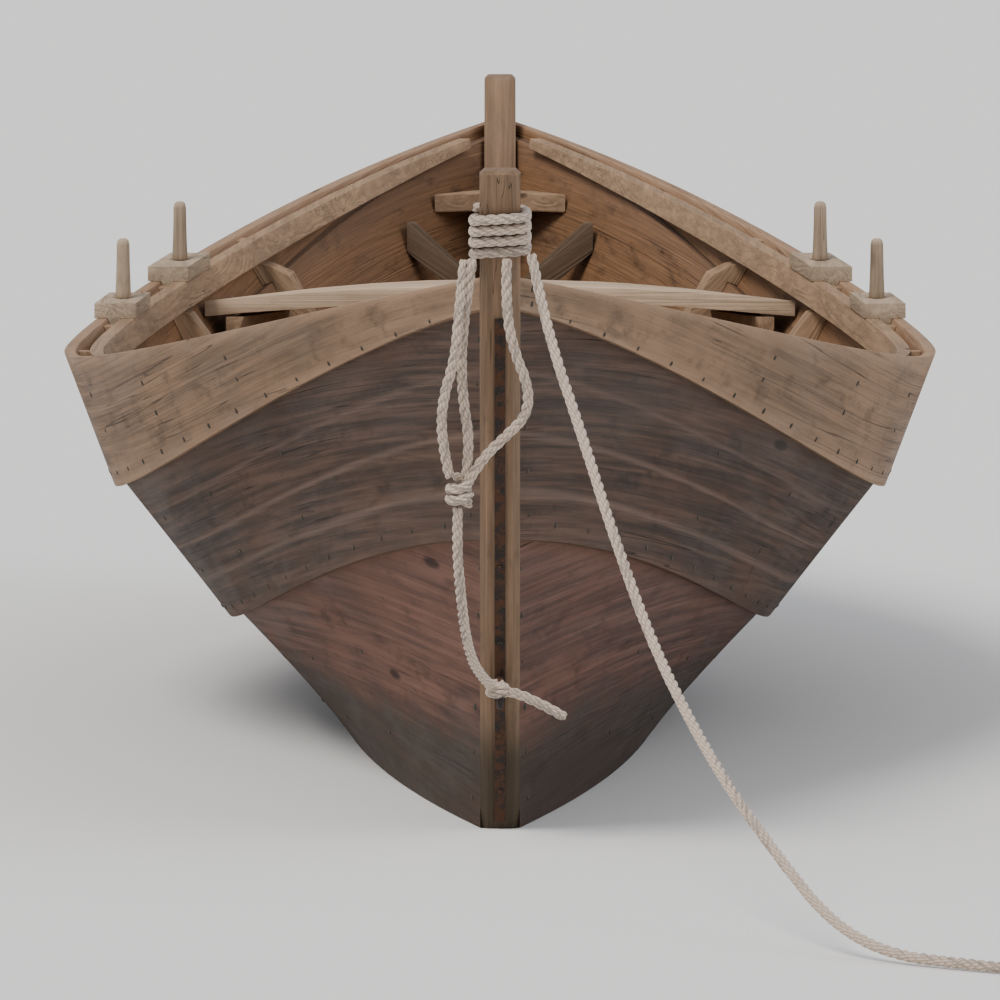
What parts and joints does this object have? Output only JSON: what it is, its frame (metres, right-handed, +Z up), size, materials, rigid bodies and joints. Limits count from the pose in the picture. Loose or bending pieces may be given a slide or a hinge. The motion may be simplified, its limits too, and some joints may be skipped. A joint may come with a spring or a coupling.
{
  "type": "double-ended lapstrake rowing boat",
  "caption": "Weathered double-ended lapstrake wooden rowing boat with flat bottom, raked posts, thwarts, thole pins and a rope mooring bridle at the stem.",
  "frame": {"origin": "middle of the flat bottom, on the surface the boat stands on", "axes": "+Z up; -Y towards the bow; +X to starboard as seen from ahead on the right"},
  "size_m": [1.705, 6.7625, 1.03],
  "materials": {
    "weathered_plank": "weathered grey-brown bare wood",
    "dark_plank": "dark tarred wood, dull",
    "bottom_plank": "dark reddish brown wood, dull and damp",
    "post_wood": "weathered bare wood",
    "frame_wood": "bare wood, warm brown, dry",
    "seat_wood": "worn bare wood, pale along the edges",
    "hardwood": "pale turned wood, dry",
    "iron": "dark rusted wrought iron",
    "copper": "dull brown copper nails",
    "rope": "pale laid rope, faded"
  },
  "bodies": {
    "hull": {"aft_seat": "seat_wood", "aft_seat_cleat_port": "seat_wood", "aft_seat_cleat_starboard": "seat_wood", "aft_thwart": "seat_wood", "bottom_plank_port": "bottom_plank", "bottom_plank_starboard": "bottom_plank", "bow_breasthook": "frame_wood", "bow_crook": "frame_wood", "bow_thwart": "seat_wood", "bridle_fall": "rope", "bridle_inner_strand": "rope", "bridle_knot": "rope", "bridle_middle_strand": "rope", "bridle_outer_strand": "rope", "bridle_tail": "rope", "forefoot_eye": "iron", "frame_1": "frame_wood", "frame_2": "frame_wood", "frame_3": "frame_wood", "frame_4": "frame_wood", "frame_5": "frame_wood", "frame_6": "frame_wood", "frame_7": "frame_wood", "garboard_port": "bottom_plank", "garboard_starboard": "bottom_plank", "head_lashing": "rope", "inwale_port": "frame_wood", "inwale_starboard": "frame_wood", "lap_nails_port": "copper", "lap_nails_starboard": "copper", "middle_strake_port": "dark_plank", "middle_strake_starboard": "dark_plank", "middle_thwart": "seat_wood", "mooring_line": "rope", "mooring_line_coil": "rope", "mooring_line_end_knot": "rope", "rowlock_pad_port_1": "hardwood", "rowlock_pad_port_2": "hardwood", "rowlock_pad_starboard_1": "hardwood", "rowlock_pad_starboard_2": "hardwood", "sheer_strake_port": "weathered_plank", "sheer_strake_starboard": "weathered_plank", "stem_band": "iron", "stem_post": "post_wood", "stern_band": "iron", "stern_breasthook": "frame_wood", "stern_crook": "frame_wood", "stern_post": "post_wood", "thwart_nails": "copper", "thwart_riser_port": "frame_wood", "thwart_riser_starboard": "frame_wood"},
    "floor_board_middle": {"floor_board_middle": "seat_wood"},
    "floor_board_port": {"floor_board_port": "seat_wood"},
    "floor_board_starboard": {"floor_board_starboard": "seat_wood"},
    "thole_pin_port_1": {"thole_pin_port_1": "hardwood"},
    "thole_pin_port_2": {"thole_pin_port_2": "hardwood"},
    "thole_pin_starboard_1": {"thole_pin_starboard_1": "hardwood"},
    "thole_pin_starboard_2": {"thole_pin_starboard_2": "hardwood"}
  },
  "joints": [
    {"name": "floor_board_middle_lift", "type": "slide", "parent": "hull", "child": "floor_board_middle", "axis": [0, 0, 1], "range_m": [0, 0.18]},
    {"name": "floor_board_port_lift", "type": "slide", "parent": "hull", "child": "floor_board_port", "axis": [0, 0, 1], "range_m": [0, 0.18]},
    {"name": "floor_board_starboard_lift", "type": "slide", "parent": "hull", "child": "floor_board_starboard", "axis": [0, 0, 1], "range_m": [0, 0.18]},
    {"name": "thole_pin_port_1_lift", "type": "slide", "parent": "hull", "child": "thole_pin_port_1", "axis": [0, 0, 1], "range_m": [0, 0.06]},
    {"name": "thole_pin_port_2_lift", "type": "slide", "parent": "hull", "child": "thole_pin_port_2", "axis": [0, 0, 1], "range_m": [0, 0.06]},
    {"name": "thole_pin_starboard_1_lift", "type": "slide", "parent": "hull", "child": "thole_pin_starboard_1", "axis": [0, 0, 1], "range_m": [0, 0.06]},
    {"name": "thole_pin_starboard_2_lift", "type": "slide", "parent": "hull", "child": "thole_pin_starboard_2", "axis": [0, 0, 1], "range_m": [0, 0.06]}
  ]
}
